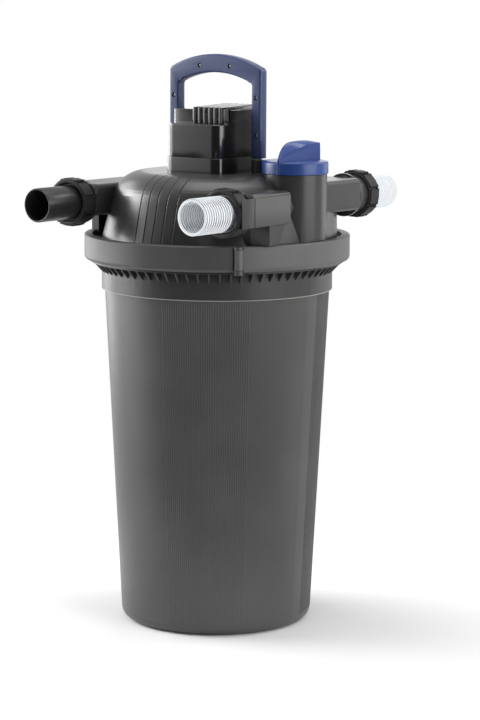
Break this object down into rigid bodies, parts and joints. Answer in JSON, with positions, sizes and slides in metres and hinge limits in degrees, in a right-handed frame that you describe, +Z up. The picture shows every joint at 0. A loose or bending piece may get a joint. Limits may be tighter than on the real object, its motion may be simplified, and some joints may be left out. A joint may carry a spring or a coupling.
{
  "type": "pressurized pond filter",
  "caption": "Pressurized pond filter: tapered grey container, clamped black lid with valve and hose unions, ultraviolet head and blue pull handle that squeezes the foam.",
  "frame": {"origin": "on the vertical axis of the container, at the flat face it stands on", "axes": "+Z up; the wide front of the ultraviolet head, the inlet and the drain face -Y; the valve is on the +X side"},
  "size_m": [0.3816, 0.456, 0.817],
  "materials": {
    "container_grey": "satin",
    "lid_black": "satin",
    "handle_blue": "satin",
    "knob_blue": "satin",
    "clear_plastic": "clear gloss",
    "steel": "brushed",
    "seal_rubber": "matte",
    "bush_plastic": "matte",
    "foam_coarse": "open foam",
    "foam_fine": "open foam",
    "quartz": "clear gloss",
    "lamp_glass": "clear gloss",
    "socket_ceramic": "matte",
    "board_green": "satin",
    "cage_plastic": "matte"
  },
  "bodies": {
    "filter": {"container": "container_grey", "lid_seal": "seal_rubber", "clamp_fixed_half": "container_grey", "clamp_hinge_pin": "steel", "lid": "lid_black", "inlet_gasket": "seal_rubber", "inlet_tail": "lid_black", "drain_gasket": "seal_rubber", "drain_tail": "clear_plastic", "outlet_gasket": "seal_rubber", "outlet_tail": "clear_plastic", "head_base": "lid_black", "head_housing": "lid_black", "head_cover": "lid_black", "cable_gland": "lid_black", "ballast_board": "board_green", "board_screws": "steel", "lamp_socket": "socket_ceramic", "uv_lamp": "lamp_glass", "quartz_sleeve": "quartz", "sleeve_seal": "seal_rubber", "sleeve_nut": "cage_plastic", "flow_tube": "cage_plastic", "rod_bushes": "bush_plastic", "rod_seals": "seal_rubber", "top_plate": "cage_plastic", "centre_tube": "cage_plastic", "foam_ring_1": "foam_coarse", "foam_ring_2": "foam_fine", "foam_ring_3": "foam_coarse", "foam_ring_4": "foam_fine", "foam_ring_5": "foam_coarse", "foam_ring_6": "foam_fine"},
    "handle": {"handle_front": "handle_blue", "handle_rear": "handle_blue", "handle_screws": "steel", "pull_rods": "steel", "rod_nuts": "steel", "press_plate": "cage_plastic"},
    "valve": {"valve_knob": "knob_blue", "valve_rotor": "cage_plastic", "valve_seals": "seal_rubber"},
    "clamp_swing": {"clamp_swing_half": "container_grey", "latch_pin": "steel"},
    "latch": {"latch_lever": "container_grey"},
    "inlet_union": {"inlet_nut": "lid_black"},
    "drain_union": {"drain_nut": "lid_black"},
    "outlet_union": {"outlet_nut": "lid_black"}
  },
  "joints": [
    {"name": "handle_lift", "type": "slide", "parent": "filter", "child": "handle", "axis": [0, 0, 1], "range_m": [0, 0.15], "deforming": ["foam_ring_1", "foam_ring_2", "foam_ring_3", "foam_ring_4", "foam_ring_5", "foam_ring_6"]},
    {"name": "valve_turn", "type": "hinge", "parent": "filter", "child": "valve", "pos_m": [0.137, 0, 0.66], "axis": [0, 0, 1], "range_deg": [0, 180]},
    {"name": "clamp_open", "type": "hinge", "parent": "filter", "child": "clamp_swing", "pos_m": [0.13845, -0.1323, 0.5435], "axis": [0, 0, -1], "range_deg": [0, 12]},
    {"name": "latch_turn", "type": "hinge", "parent": "clamp_swing", "child": "latch", "pos_m": [-0.13173, 0.14802, 0.5435], "axis": [0, 0, -1], "range_deg": [0, 168]},
    {"name": "inlet_nut_turn", "type": "hinge", "parent": "filter", "child": "inlet_union", "pos_m": [-0.137, -0.155, 0.609], "axis": [0, -1, 0], "continuous": true},
    {"name": "drain_nut_turn", "type": "hinge", "parent": "filter", "child": "drain_union", "pos_m": [0.137, -0.155, 0.609], "axis": [0, -1, 0], "continuous": true},
    {"name": "outlet_nut_turn", "type": "hinge", "parent": "filter", "child": "outlet_union", "pos_m": [0.137, 0.155, 0.616], "axis": [0, 1, 0], "continuous": true}
  ],
  "couplings": [
    {"joint": "latch_turn", "follows": "clamp_open", "ratio": 14}
  ]
}
